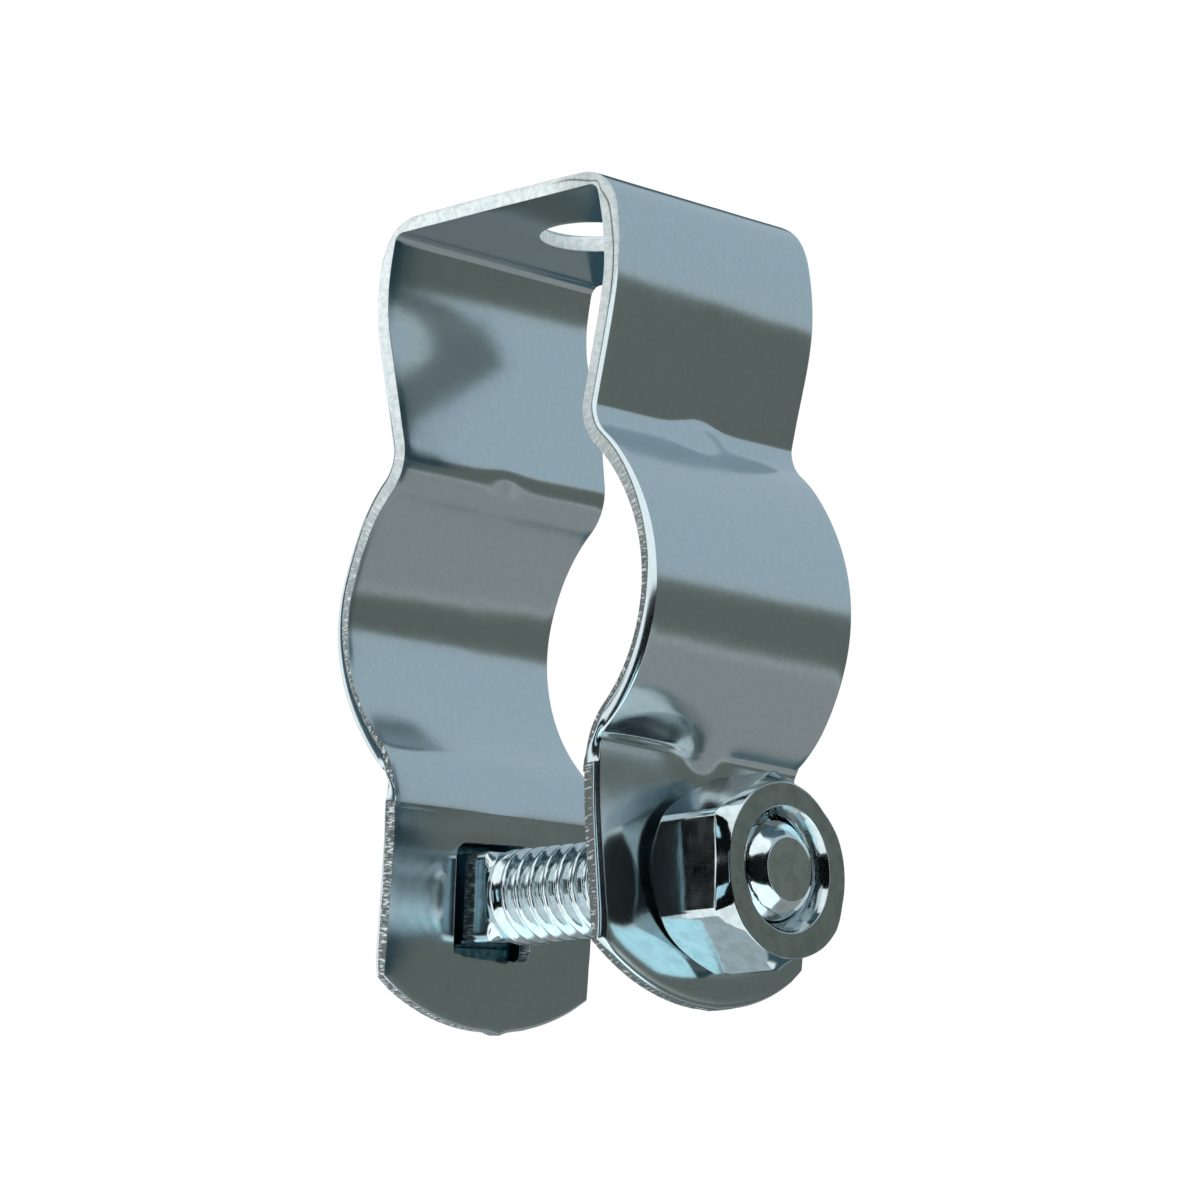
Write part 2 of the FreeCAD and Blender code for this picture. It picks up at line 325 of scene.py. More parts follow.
def along(paths, key, t):
    # A run of pairs looked up at t, mirrored for the left leg where t is below 0
    x = np.interp(np.abs(t), paths["t"], paths[key][:, 0]) * np.where(t < 0, -1, 1)
    return x, np.interp(np.abs(t), paths["t"], paths[key][:, 1])


def footLine(foot, y):
    # Height of a tab's foot at y: a shallow arc with the nib that shearing leaves
    lowY, lowZ, radius, place, halfWidth, height = foot
    nib = height * ease(1 - np.abs(y - place) / halfWidth)
    return lowZ + radius - np.sqrt(radius ** 2 - (y - lowY) ** 2) - nib


def boxHole(halfY, halfZ, corner, turn):
    # Distance to a rounded rectangle's rim at each angle from +Y, from a fine walk round it
    quarter = np.linspace(0, math.pi / 2, 40)
    rim = []
    for k, (sy, sz) in enumerate(((1, 1), (-1, 1), (-1, -1), (1, -1))):
        a = quarter + k * math.pi / 2
        rim.append([sy * (halfY - corner) + corner * np.cos(a), sz * (halfZ - corner) + corner * np.sin(a)])
    rim = np.concatenate(rim, axis=1).T
    step = np.roll(rim, -1, axis=0) - rim
    rim = (rim[:, None] + step[:, None] * np.linspace(0, 1, 60)[:, None]).reshape(-1, 2)
    angle = np.arctan2(rim[:, 1], rim[:, 0])
    order = np.argsort(angle)
    turn = math.radians(turn)
    return lambda a: np.interp(a - turn, angle[order], np.hypot(*rim.T)[order], period=2 * math.pi)


def sheetPlan(s, paths, key):
    # The strip laid flat as (t, y) points, its cells, and the loops round its rims: a grid of rows
    # along t, whose last rows bend to the feet, with rings of cells round each of the three holes
    marks, inset, half = paths["marks"], s[key + "Inset"], s["width"] / 2
    rows = [np.zeros(1)]
    for k in range(len(marks) - 2):
        least = s["bendRows"] if k in (2, 6, 8) else 2  # the tight bends: top, waist and lower
        n = max(least, math.ceil((marks[k + 1] - marks[k]) / s["rowStep"]))
        rows.append(marks[k] + (marks[k + 1] - marks[k]) * np.arange(1, n + 1) / n)
    rows = np.concatenate(rows)
    near = inset + np.array(s["rimColumns"])
    fromSide, plainCount = s["plainColumns"]
    plain = np.linspace(fromSide - half, half - fromSide, plainCount)
    y = np.concatenate([near - half, plain, half - near[::-1]])
    tabT, (tabZ, endZ) = marks[-2], s["tabSpan"]
    perT = (marks[-1] - tabT) / (tabZ - endZ)

    def legGrid(foot):
        share = np.arange(1, s["tabRows"] + 1)[:, None] / s["tabRows"]
        tab = tabT + (tabZ - footLine(foot, y) - inset) * share * perT
        return np.concatenate([np.repeat(rows[:, None], len(y), axis=1), tab])

    right, left = legGrid(s["rightFoot"]), legGrid(s["leftFoot"])
    t = np.concatenate([-left[:0:-1], right])
    wider = np.zeros((len(t), 1))
    if key == "outer":
        # Columns near the sides move in where the roll is wider than the inset
        wider = np.clip(np.interp(np.abs(t[:, :1]), *np.array(s["rollWidths"]).T) - inset, 0, 1)
    off = half - np.abs(y)
    yy = np.sign(y) * (half - off - wider * np.clip(1 - (off - inset) / s["rollReach"], 0, 1))
    middleRow, legRows = len(left) - 1, len(rows) - 1
    index = np.arange(t.size).reshape(t.shape)
    cells = gridFaces(index)
    keep = np.ones(cells.shape[:2], bool)
    flatT, flatY, quads, loops = [t.ravel()], [yy.ravel()], [], []
    count = t.size

    def zOf(tt):
        return tabZ - (np.abs(tt) - tabT) / perT

    def same(a, b):
        return a, b

    def punch(rowFrom, rowTo, colFrom, colTo, rim, centre, toPlane=same, fromPlane=same):
        # Rings of cells from a window of the grid to a hole's rim, on rays from its centre
        nonlocal count
        keep[rowFrom:rowTo, colFrom:colTo] = False
        border = np.concatenate([
            index[rowFrom, colFrom:colTo], index[rowFrom:rowTo, colTo],
            index[rowTo, colTo:colFrom:-1], index[rowTo:rowFrom:-1, colFrom]])
        u, v = toPlane(t.ravel()[border], yy.ravel()[border])
        angle = np.arctan2(v - centre[1], u - centre[0])
        reach = (rim(angle) if callable(rim) else rim) + inset
        hu, hv = centre[0] + reach * np.cos(angle), centre[1] + reach * np.sin(angle)
        ring, (rings, crowd) = border, s["holeRings"]
        for k in range(1, rings + 1):
            share = 1 - (1 - k / rings) ** crowd
            tt, ty = fromPlane(u + (hu - u) * share, v + (hv - v) * share)
            flatT.append(tt)
            flatY.append(ty)
            inner = count + np.arange(len(border))
            count += len(border)
            quads.append(np.stack([ring, inner, np.roll(inner, -1), np.roll(ring, -1)], axis=1))
            ring = inner
        loops.append(ring)

    halfLength, *columns = s["topWindow"]
    topRows = int(np.searchsorted(rows, halfLength))
    punch(middleRow - topRows, middleRow + topRows, *columns, s["fixingHoleRadius"], (0.0, 0.0))
    first, last, *columns = s["tabWindow"]
    for side, rim in ((1, s["boltHoleRadius"]), (-1, boxHole(*s["neckHole"]))):
        ends = sorted(middleRow + side * (legRows + k) for k in (first, last))
        punch(*ends, *columns, rim, (0.0, -s["boltDrop"]), lambda a, b: (b, zOf(a)),
              lambda a, b, side=side: (side * (tabT + (tabZ - b) * perT), a))
    loops.append(np.concatenate([index[:-1, 0], index[-1, :-1], index[:0:-1, -1], index[0, :0:-1]]))
    return {"t": np.concatenate(flatT), "y": np.concatenate(flatY), "zOf": zOf, "tabT": tabT, "loops": loops,
            "quads": np.concatenate([cells[keep]] + quads), "lowT": (marks[8] + marks[9]) / 2}


def strained(s, points):
    # Each strain moves one leg near a height by a bell curve, blended from its front to its back
    back = points[:, 1] / s["width"] + 0.5
    for side, height, spread, liftFront, liftBack, pushFront, pushBack in s["strain"]:
        share = np.exp(-((points[:, 2] - height) / spread) ** 2) * (points[:, 0] * side > 0)
        points[:, 2] += share * (liftFront + (liftBack - liftFront) * back)
        points[:, 0] += side * share * (pushFront + (pushBack - pushFront) * back)


def sheetFace(s, paths, plan, key):
    # One face: the path carried along y, moved off along its normal by waves and by falls near the rims
    t, y, far = plan["t"], plan["y"], 9  # far is beyond every fall
    x, h = along(paths, key, t)
    ox, oz = along(paths, key + "Out", t)
    z, onTab = plan["zOf"](t), np.abs(t) > plan["tabT"]
    foot = z - np.where(t > 0, footLine(s["rightFoot"], y), footLine(s["leftFoot"], y))
    foot = np.where(onTab, foot, far)
    above = z + s["boltDrop"]
    hole = np.where(t > 0, s["boltHoleRadius"], boxHole(*s["neckHole"])(np.arctan2(above, y)))
    rim = np.where(onTab, np.hypot(y, above) - hole, far)
    rim = np.where(np.abs(t) < s["topSplit"], np.hypot(t, y) - s["fixingHoleRadius"], rim)
    rim = np.minimum(rim, s["width"] / 2 - np.abs(y))
    rim = np.clip(np.minimum(rim, foot), 0, far)
    depth, reach = s["rimFall"]
    fall = depth * np.exp(-((rim - s[key + "Inset"]) / reach) ** 2)
    if key == "outer":
        depth, reach = s["footRoll"]
        fall += depth * np.clip(1 - foot / reach, 0, 1) ** 2
        depth, bendDepth, reach, fade = s["topSag"]
        sag = depth + bendDepth * np.clip(np.abs(t) / reach, 0, 1) ** 2
        fall += sag * ease((reach + fade - np.abs(t)) / fade)
        middleY, halfWidth, height, depth, fade = s["hollow"]
        above = t - plan["lowT"]  # negative above the lower bend on the right leg
        bowl = 1 - ((y - middleY) / halfWidth) ** 2 - (above / height) ** 2
        fall += depth * np.clip(bowl, 0, 1) * ease(-above / fade) * (t > 0)
    wave = sum(high * mottle(t / long + start, y / wide + start, seed)
               for high, long, wide, start, seed in s["waves"])
    shift = wave - fall if key == "outer" else wave + fall
    return np.stack([x + ox * shift, y, h + oz * shift], axis=1)


def pressDimples(s, faces):
    # A ball rises through the hollow side of each bend, and a shallower cap dents the other side: height
    # along the bisector becomes the soft maximum of the sheet's and the ball's, which fades out by 1.5 radii
    centre = jawCentre(s)
    (pl, ul), (pb, ub) = legLines(s, s["thickness"])[2:]
    jaw = s["jawRadius"] + s["thickness"]
    for bend, (p, u, sign) in enumerate(((pl, ul, -1), (pb, ub, 1))):
        corner = circleHit(p - centre, u, centre, jaw, sign)
        radial = (corner - centre) / jaw
        bisector = (u - np.array([radial[1], -radial[0]])) * sign
        bisector /= np.linalg.norm(bisector)
        cross = np.array([-bisector[1], bisector[0]])
        through = s["thickness"] / abs(np.dot(bisector, [-u[1], u[0]]))
        for key, cap in (("outer", s["dimple"]), ("inner", s["dent"])):
            points, radius, rise, crease = faces[key], cap["radius"], cap["depth"][bend], cap["crease"][bend]
            if key == "outer":
                middle = corner - bisector * rise
            else:
                middle = corner - bisector * through + bisector * (rise - radius)
            for side in (1, -1):
                rel = np.stack([points[:, 0] * side, points[:, 2]], axis=1) - middle
                high = rel @ bisector
                wide = np.hypot(rel @ cross, points[:, 1])
                dome = np.sqrt(np.clip(radius ** 2 - wide ** 2, 0, None))
                ball = np.where(wide < radius, dome, -6 * (wide - radius))
                near = (wide < 1.5 * radius) & (points[:, 0] * side > 0)
                raised = softMax(high, ball, crease) - 0.12 * crease ** 2
                fade = ease((1.5 - wide / radius) / 0.4)
                lift = np.where(near, np.maximum(raised - high, 0) * fade, 0)
                points[:, 0] += side * lift * bisector[0]
                points[:, 2] += lift * bisector[1]


def makeWall(s, outer, inner, normal, tear):
    # A sheared edge from the outer face to the inner: a quarter ellipse rolled over by the shear, then
    # a crack, then the torn land with fine ridges across it, then a small burr. The way down is the
    # face's normal turned round, and the way out is what is left of the step from rim to rim
    depth = -((inner - outer) * normal).sum(axis=1)
    lateral = inner - outer + normal * depth[:, None]
    reach = np.linalg.norm(lateral, axis=1)
    out = lateral / reach[:, None]
    inset = reach + s["innerInset"] - s["landDrop"]
    roll = s["rollDepth"] * inset
    middle = (outer + inner) / 2
    step = np.linalg.norm(np.roll(middle, -1, axis=0) - middle, axis=1)
    run = np.concatenate([[0], np.cumsum(step)])
    u = run[:-1]
    turn = np.linspace(0, 1, s["rollRows"])[:, None] * math.pi / 2
    share = np.array(s["landRows"])[:, None]
    ridges = sum(high * ripple(u / gap + start + share * drift, seed)
                 for high, gap, start, drift, seed in s["ridges"])
    place, half, crackDepth = s["crack"]
    stray, length, gap = s["crackWander"]
    crack = np.exp(-((share - place - stray * ripple(u / length, 23)) / half) ** 2)
    crack *= ease(0.5 + ripple(u / gap + 3, 24))
    place, half, height = s["burr"]
    burr = np.exp(-((share - place) / half) ** 2) * (height + height * ripple(u / 0.8 + 11, 25))
    torn = ease(share / 0.1) * ease((1.02 - share) / 0.1)
    atBurr = np.clip((share - place) / half, 0, 1)
    corner = (s["innerInset"] - s["landDrop"]) * (1 - np.sqrt(1 - atBurr ** 2))
    land = inset - corner + tear * (torn * (ridges - s["ridgeDrop"]) - crackDepth * crack + burr)
    outs = np.concatenate([inset * np.sin(turn), land])
    downs = np.concatenate([roll * (1 - np.cos(turn)), roll + (depth - roll) * share])
    wall = outer - normal * downs[..., None] + out * outs[..., None]
    # Across the edge the UV map counts 0.45 mm for the roll and the rest of the thickness for the land
    across = np.concatenate([np.linspace(0, 0.45, s["rollRows"]), 0.45 + 0.7 * share[:, 0],
                             [s["thickness"]]])
    uv = np.stack(np.broadcast_arrays(run / uvUnit, across[:, None] / uvUnit), axis=-1)
    return np.concatenate([wall, inner[None]]), uv


def makeStrap(s):
    # Two faces, and round each rim a wall whose rows run from the outer face to the inner
    paths = legPaths(s)
    plans = {key: sheetPlan(s, paths, key) for key in ("outer", "inner")}
    faces = {key: sheetFace(s, paths, plans[key], key) for key in plans}
    pressDimples(s, faces)
    for face in faces.values():
        strained(s, face)
    outer, inner = faces["outer"], faces["inner"]
    quads, loops, count = plans["outer"]["quads"], plans["outer"]["loops"], len(outer)
    flat = {key: np.stack([plan["t"], plan["y"]], axis=1) / uvUnit for key, plan in plans.items()}
    flipped = quads[:, ::-1]
    points = [outer, inner]
    sets = [(quads, flat["outer"][quads], 0), (flipped + count, flat["inner"][flipped], 0)]
    total = 2 * count
    for number, loop in enumerate(loops):
        ownEdge = number == len(loops) - 1  # the strip's own edge comes after the three holes
        nx, nz = along(paths, "outerOut", plans["outer"]["t"][loop])
        normal = np.stack([nx, np.zeros_like(nx), nz], axis=1)
        wall, uv = makeWall(s, outer[loop], inner[loop], normal, 1.0 if ownEdge else s["holeTear"])
        between = total + np.arange((len(wall) - 2) * len(loop)).reshape(-1, len(loop))
        total += between.size
        points.append(wall[1:-1].reshape(-1, 3))
        index = np.concatenate([loop[None], between, loop[None] + count])
        cells = gridFaces(np.concatenate([index, index[:, :1]], axis=1))
        spots = gridFaces(np.arange(uv[..., 0].size).reshape(uv.shape[:2]))
        # The rolled part shines low down and turns chalky, from the crack outwards, higher up
        side, height = outer[loop][:, 1:].T
        low, high = s["chalkyFrom"]
        uneven, length = s["chalkyUneven"]
        chalky = ease((height - low) / (high - low)) * 1.2
        chalky = np.where(side < 0, chalky + uneven * ripple(np.arange(len(loop)) / length, 31), 0)
        down = (np.arange(len(cells)) / s["rollRows"])[:, None]
        torn = (down > 1 - chalky) & ownEdge | (down >= 1)
        for part, slot in ((~torn, 0), (torn, 1)):
            sets.append((cells[part], uv.reshape(-1, 2)[spots[part]], slot))
    return makePiece("strapSheet", np.concatenate(points), sets, 50)


# Bolt and nut shapes

bolt = {
    "axisDrop": strap["boltDrop"],
    "seat": -10.66,
    "tip": 17.235,
    "headRadius": 7.15,
    "headRim": 0.5,
    "headDome": 2.9,
    "rimRoll": (0.24, 0.11),  # half the height of the rolled rim, and how far it stands out
    "neckHalf": 2.975,
    "neckCorner": 0.5,
    "neckEnd": -6.3,
    "neckTaper": 0.6,
    "neckTurn": 3.0,
    "neckShift": 0.3,  # the loose neck lies towards the back of its hole
    "neckFillet": 0.12,
    "lean": (9.0, 0.011),  # left of this x the axis rises by this share of the distance
    "threadRadius": 3.175,
    "pitch": 1.27,
    "threadDepth": 0.64,
    "threadStart": -6.2,
    "runOut": 1.0,
    "tipDisc": 2.05,
    "tipRound": 1.1,
    "tipRings": (0.012, 0.004, 14),  # dish of the tip's face, and height and number of its turning marks
    "columns": 132,
    "rowsPerPitch": 22,
}

nut = {
    "seat": 10.47,
    "face": 17.07,
    "crown": 16.05,
    "flat": 5.555,
    "ring": 5.44,
    # Outline of the outer ring: degrees from straight up towards +Y, and radius
    "ringShape": [(-180, 5.6), (-155, 5.66), (-134, 5.7), (-114, 5.48), (-96, 5.4), (-72, 5.42),
                  (-53, 5.48), (-33, 5.54), (0, 5.5), (20, 5.42), (41, 5.26), (66, 5.44), (87, 5.48),
                  (109, 5.54), (126, 5.8), (142, 5.78), (160, 5.66), (180, 5.6)],
    "seatBevel": 1.05,
    "countersink": 4.0,
    "countersinkDepth": 1.35,
    "bore": 3.225,
    "smallBore": 2.7,
    "threadRoom": 0.05,
    "cornerRound": 0.7,
    "edgeCut": 0.07,
    "columnsPerSide": 26,
    "rowsPerPitch": 20,
}


def aboutAxis(x, r, turn):
    # Points at x along the bolt, r from its axis and turned from +Y towards +Z
    x, r, turn = np.broadcast_arrays(x, r, turn)
    return np.stack([x, r * np.cos(turn), r * np.sin(turn) - bolt["axisDrop"]], axis=-1)


def threadHeight(x, turn):
    # Height between root and crest of a right-hand thread, 0 to 1: sloping flanks, rounded off
    phase = ((x - bolt["tip"]) / bolt["pitch"] - turn / (2 * math.pi)) % 1
    flank = np.clip((np.abs(phase - 0.5) * 2 - 0.2) / 0.66, 0, 1)
    return 0.45 * flank + 0.55 * ease(flank)


def cornerArc(off, corner, middle):
    # Distance from the axis to a corner's arc, at an angle off the line to the arc's middle
    return middle * np.cos(off) + np.sqrt(np.clip(corner ** 2 - (middle * np.sin(off)) ** 2, 0, None))


def polarBox(turn, half, corner):
    # Distance from the axis to a square with rounded corners: straight side, or the corner's arc
    a = np.abs((turn + math.pi / 4) % (math.pi / 2) - math.pi / 4)
    side = half / np.cos(a)
    c = half - corner
    return np.where(side * np.sin(a) > c, cornerArc(a - math.pi / 4, corner, math.hypot(c, c)), side)


def turnedFaces(index):
    # Cells of a closed turned surface whose rows run along +x and columns round the axis
    index = np.concatenate([index, index[:, :1]], axis=1)
    return gridFaces(index)[..., ::-1].reshape(-1, 4)


def turnedUv(rows, columns):
    u, v = np.meshgrid(np.linspace(0, 1, columns + 1), np.linspace(0, 1, rows))
    index = np.arange(rows * (columns + 1)).reshape(rows, columns + 1)
    return np.stack([u, v], axis=-1).reshape(-1, 2)[gridFaces(index)[..., ::-1].reshape(-1, 4)]


def makeBolt(b):
    # Rings of points about the axis, from the head's crown to the tip's middle
    seat, tip, head, crest, disc = (b[k] for k in ("seat", "tip", "headRadius", "threadRadius", "tipDisc"))
    n = b["columns"]
    turn = np.arange(n) * 2 * math.pi / n
    rows = []

    def add(x, r):
        rows.append(aboutAxis(x, r, turn))

    # Head: spherical cap, rolled rim, flat underside
    capRadius = (head ** 2 + b["headDome"] ** 2) / (2 * b["headDome"])
    rimX = seat - b["headRim"]
    apex = rimX - b["headDome"]
    for r in head * np.sin(np.linspace(0.02, 1, 34) * math.pi / 2) * 0.985:
        add(apex + capRadius - math.sqrt(capRadius ** 2 - r * r), r)
    halfRim, bulge = b["rimRoll"]
    for swing in np.linspace(0, 1, 9) * math.pi:
        add(rimX + halfRim - halfRim * math.cos(swing) - 0.02, head - bulge + bulge * math.sin(swing))
    under = len(rows)
    for r in np.linspace(head - 0.2, 4.6, 7):
        add(seat, r)
    neck = len(rows) + 1
    # Neck: a rounded square that eases into the round shank over its taper
    square = polarBox(turn - math.radians(b["neckTurn"]), b["neckHalf"], b["neckCorner"])
    shank = crest - 0.02
    for x in np.concatenate([seat + np.array([0.0, 0.05, 0.12, 0.22]),
                             np.linspace(seat + 0.4, b["threadStart"], 56)]):
        roundness = ease((x - (b["neckEnd"] - b["neckTaper"])) / b["neckTaper"])
        fillet = b["neckFillet"] * math.exp(-((x - seat) / b["neckFillet"]) ** 2)
        add(x, square + (shank - square) * roundness + fillet)
        rows[-1][:, 1] += b["neckShift"] * (1 - roundness)
    # Thread: crest radius less depth times the helical height, run out at the neck and rounded at the tip
    for x in np.arange(b["threadStart"], tip - 0.02, b["pitch"] / b["rowsPerPitch"]):
        depth = b["threadDepth"] * ease((x - b["threadStart"]) / b["runOut"])
        back = max(x - (tip - b["tipRound"]), 0) / b["tipRound"]
        limit = disc + (crest - disc) * (1 - back ** 1.5)
        add(x, softMin(crest - depth * (1 - threadHeight(x, turn)), limit + 0.01, 0.03))
    dish, height, rings = b["tipRings"]
    for r in np.linspace(disc - 0.02, 0.12, 20):
        add(tip - dish * (1 - r / disc) - height * (1 + math.cos(r * rings)), r)
    points = np.concatenate(rows)
    leanFrom, rise = b["lean"]
    points[:, 2] += np.clip(leanFrom - points[:, 0], 0, None) * rise
    count, first, last = len(rows), len(points), len(points) + 1
    index = np.arange(count * n).reshape(count, n)
    points = np.concatenate([points, aboutAxis(apex, 0, 0)[None] + [0, 0, (leanFrom - apex) * rise],
                             aboutAxis(tip - 0.018, 0, 0)[None]])
    nextCol = np.roll(index, -1, axis=1)
    headFan = np.stack([np.full(n, first), nextCol[0], index[0]], axis=1)
    tipFan = np.stack([np.full(n, last), index[-1], nextCol[-1]], axis=1)
    fanUv = np.zeros((n, 3, 2))
    # The second material, zinc darkened to teal as painted shade, is on the head's underside
    parts = [(turnedFaces(index[start:end]), turnedUv(end - start, n), slot) for start, end, slot in (
        (0, under + 1, 0), (under, neck + 1, 1), (neck, count, 0))]
    return makePiece("carriageBolt", points, parts + [(headFan, fanUv, 0), (tipFan, fanUv, 0)], 40)


def roundedRun(corners, cuts, steps):
    # Rows down a chain of corners, each cut back and bridged by a parabola; whole columns at once
    def length(v):
        return np.linalg.norm(v, axis=-1)[:, None]

    rows = []
    for k in range(1, len(corners) - 1):
        c, d = corners[k], corners[k + 1]
        toA, toD = corners[k - 1] - c, d - c
        la, ld = length(toA), length(toD)
        cut = np.minimum(cuts[k], 0.45 * np.minimum(la, ld))
        start, end = c + toA / la * cut, c + toD / ld * cut
        rows += [start * (1 - u) ** 2 + c * 2 * u * (1 - u) + end * u * u for u in np.linspace(0, 1, 7)]
        if k < len(corners) - 2:
            nextCut = np.minimum(cuts[k + 1], 0.45 * np.minimum(ld, length(corners[k + 2] - d)))
            stop = d - toD / ld * nextCut
            rows += [end + (stop - end) * u for u in np.linspace(0, 1, steps[k] + 2)[1:-1]]
    return rows


def makeNut(s):
    # Columns crowd towards the hexagon's corners, which point up and down
    seat, face, flat, bore, sink = (s[k] for k in ("seat", "face", "flat", "bore", "countersink"))
    sixth = math.pi / 6
    u = np.linspace(-1, 1, s["columnsPerSide"], endpoint=False)
    share = 0.5 * u + 0.5 * np.sin(u * math.pi / 2)
    turn = (np.arange(6)[:, None] * math.pi / 3 + share * math.pi / 6).ravel()
    a = np.abs((turn + sixth) % (math.pi / 3) - sixth)
    sharpHex = flat / np.cos(a)
    corner = flat / math.cos(sixth)
    c = s["cornerRound"]
    arc = cornerArc(a - sixth, c, corner - c / math.cos(sixth))
    hexagon = np.where(np.sin(sixth - a) * sharpHex < c * math.tan(sixth) * 0.87, arc, sharpHex)
    hexagon = np.minimum(hexagon, sharpHex)

    def ring(x, r):
        return np.stack(np.broadcast_arrays(x, r, turn)[:2], axis=-1)

    bevel = (hexagon - s["ring"]) / (corner - s["ring"]) * s["seatBevel"]
    fromTop = (90 - np.degrees(turn) + 180) % 360 - 180
    outline = np.interp(fromTop, *np.array(s["ringShape"]).T)
    boreEnd = face - s["countersinkDepth"]
    cut = s["edgeCut"]
    # Each corner of the outline with its rounding, and the rows between it and the next
    chain = [
        (ring(seat + 0.5, bore), 0, 0),
        (ring(seat, bore), 0.05, 4),
        (ring(seat, s["ring"]), cut, 8),
        (ring(seat + bevel, hexagon), cut, 22),
        (ring(s["crown"], hexagon), cut, 14),
        (ring(face, outline), cut, 10),
        (ring(face, sink), 0.06, 8),
        (ring(boreEnd, bore + 0.02), 0.03, 10),
        (ring(boreEnd - 0.5, bore), 0, 0),
    ]
    # Rows inside the countersink give way to the bore's own rows, which follow its cone
    boreTop = boreEnd + 0.5
    profile = [row for row in roundedRun(*zip(*chain)) if not (
        seat + 1 < row[0, 0] < boreTop + 1e-6 and row[0, 1] < sink - 0.1)]
    # Bore: the bolt's thread with a little room, cut by the countersink's cone
    for x in np.arange(boreTop, seat + 0.15, -bolt["pitch"] / s["rowsPerPitch"]):
        fit = bolt["threadRadius"] - bolt["threadDepth"] * (1 - threadHeight(x, turn)) + s["threadRoom"]
        ends = ease((x - seat - 0.1) / 0.8)
        inner = bore + (np.maximum(fit, s["smallBore"]) - bore) * ends
        cone = bore + (x - boreEnd) / s["countersinkDepth"] * (sink - bore)
        profile.append(ring(x, softMax(inner, cone, 0.03) if x > boreEnd - 1.6 else inner))
    grid = np.stack(profile)
    points = aboutAxis(grid[..., 0], grid[..., 1], turn).reshape(-1, 3)
    count, n = grid.shape[:2]
    index = np.arange(count * n).reshape(count, n)
    index = np.concatenate([index, index[:1]])
    return makePiece("hexNut", points, [(turnedFaces(index), turnedUv(count + 1, n), 0)], 32)


# Materials


def nodeTools(tree):
    # Short ways to add a node with its inputs and settings, and to give a node its inputs
    def feed(node, inputs):
        # Each input named gets a value, or a link from a pair of node and output
        for key, value in inputs.items():
            if isinstance(value, tuple) and isinstance(value[0], bpy.types.Node):
                tree.links.new(value[0].outputs[value[1]], node.inputs[key])
            else:
                node.inputs[key].default_value = value
        return node

    def add(kind, inputs=None, **settings):
        node = tree.nodes.new("ShaderNode" + kind)
        for key, value in settings.items():
            setattr(node, key, value)
        return feed(node, inputs or {})

    return add, feed


def softRange(add, value, start, end, least=0, most=1):
    # A smooth step from least at the start to most at the end
    limits = {"Value": value, "From Min": start, "From Max": end, "To Min": least, "To Max": most}
    return add("MapRange", limits, interpolation_type="SMOOTHSTEP"), "Result"


def newMaterial(name):
    material = bpy.data.materials.new(name)
    material.use_nodes = True
    return (material, material.node_tree.nodes) + nodeTools(material.node_tree)


def makeGrainGroup():
    # Zinc's spangle and film: a cloud mixes the colours, a finer one sets the roughness,
    # and a fine and a broad relief turn the normal
    tree = bpy.data.node_groups.new("zincGrain", "ShaderNodeTree")
    add, feed = nodeTools(tree)
    for way, kind, names in (
            ("INPUT", "Color", ("Light", "Dull")),
            ("INPUT", "Float", ("Patch Scale", "Low Roughness", "High Roughness")),
            ("INPUT", "Float", ("Fine Relief", "Broad Relief")), ("OUTPUT", "Color", ("Colour",)),
            ("OUTPUT", "Float", ("Roughness",)), ("OUTPUT", "Vector", ("Normal",))):
        for name in names:
            tree.interface.new_socket(name=name, in_out=way, socket_type="NodeSocket" + kind)
    given, place = tree.nodes.new("NodeGroupInput"), add("TexCoord")

    def cloud(scale, detail, roughness=0.5):
        return add("TexNoise", {"Vector": (place, "Object"), "Scale": scale, "Detail": detail,
                                "Roughness": roughness}), "Fac"

    patches = softRange(add, cloud((given, "Patch Scale"), 4, 0.62), 0.38, 0.66)
    colour = add("Mix", {"Factor": patches, "A": (given, "Light"), "B": (given, "Dull")}, data_type="RGBA")
    rough = add("MapRange", {"Value": cloud(420, 5, 0.7), "From Min": 0.3, "From Max": 0.7,
                             "To Min": (given, "Low Roughness"), "To Max": (given, "High Roughness")})
    broad = add("Bump", {"Strength": (given, "Broad Relief"), "Distance": 0.0003, "Height": cloud(520, 2)})
    fine = add("Bump", {"Strength": (given, "Fine Relief"), "Distance": 0.00006, "Height": cloud(3200, 2),
                        "Normal": (broad, "Normal")})
    feed(tree.nodes.new("NodeGroupOutput"), {
        "Colour": (colour, "Result"), "Roughness": (rough, "Result"), "Normal": (fine, "Normal")})
    return tree


grain = makeGrainGroup()


def makeZinc(name, values, metal=1.0):
    material, nodes, add, feed = newMaterial(name)
    group = add("Group", values, node_tree=grain)
    feed(nodes["Principled BSDF"], {
        "Metallic": metal, "Base Color": (group, "Colour"), "Roughness": (group, "Roughness"),
        "Normal": (group, "Normal")})
    return material


stripZinc = {
    "Light": (0.5, 0.57, 0.6, 1), "Dull": (0.475, 0.545, 0.57, 1), "Patch Scale": 2600,
    "Low Roughness": 0.15, "High Roughness": 0.19, "Fine Relief": 0.011, "Broad Relief": 0.014,
}
edgeZinc = {
    "Light": (0.84, 0.9, 0.91, 1), "Dull": (0.66, 0.74, 0.75, 1), "Patch Scale": 2600,
    "Low Roughness": 0.5, "High Roughness": 0.7, "Fine Relief": 0.3, "Broad Relief": 0.1,
}
boltZinc = {
    "Light": (0.6, 0.67, 0.7, 1), "Dull": (0.5, 0.56, 0.58, 1), "Patch Scale": 1200,
    "Low Roughness": 0.08, "High Roughness": 0.15, "Fine Relief": 0.05, "Broad Relief": 0.04,
}
# Painted shade: the head's underside and the neck's first row get this dark teal zinc, standing for the
# shade under the head
underHeadShadeZinc = {
    "Light": (0.13, 0.3, 0.38, 1), "Dull": (0.05, 0.14, 0.19, 1), "Patch Scale": 2200,
    "Low Roughness": 0.12, "High Roughness": 0.25, "Fine Relief": 0.05, "Broad Relief": 0.05,
}
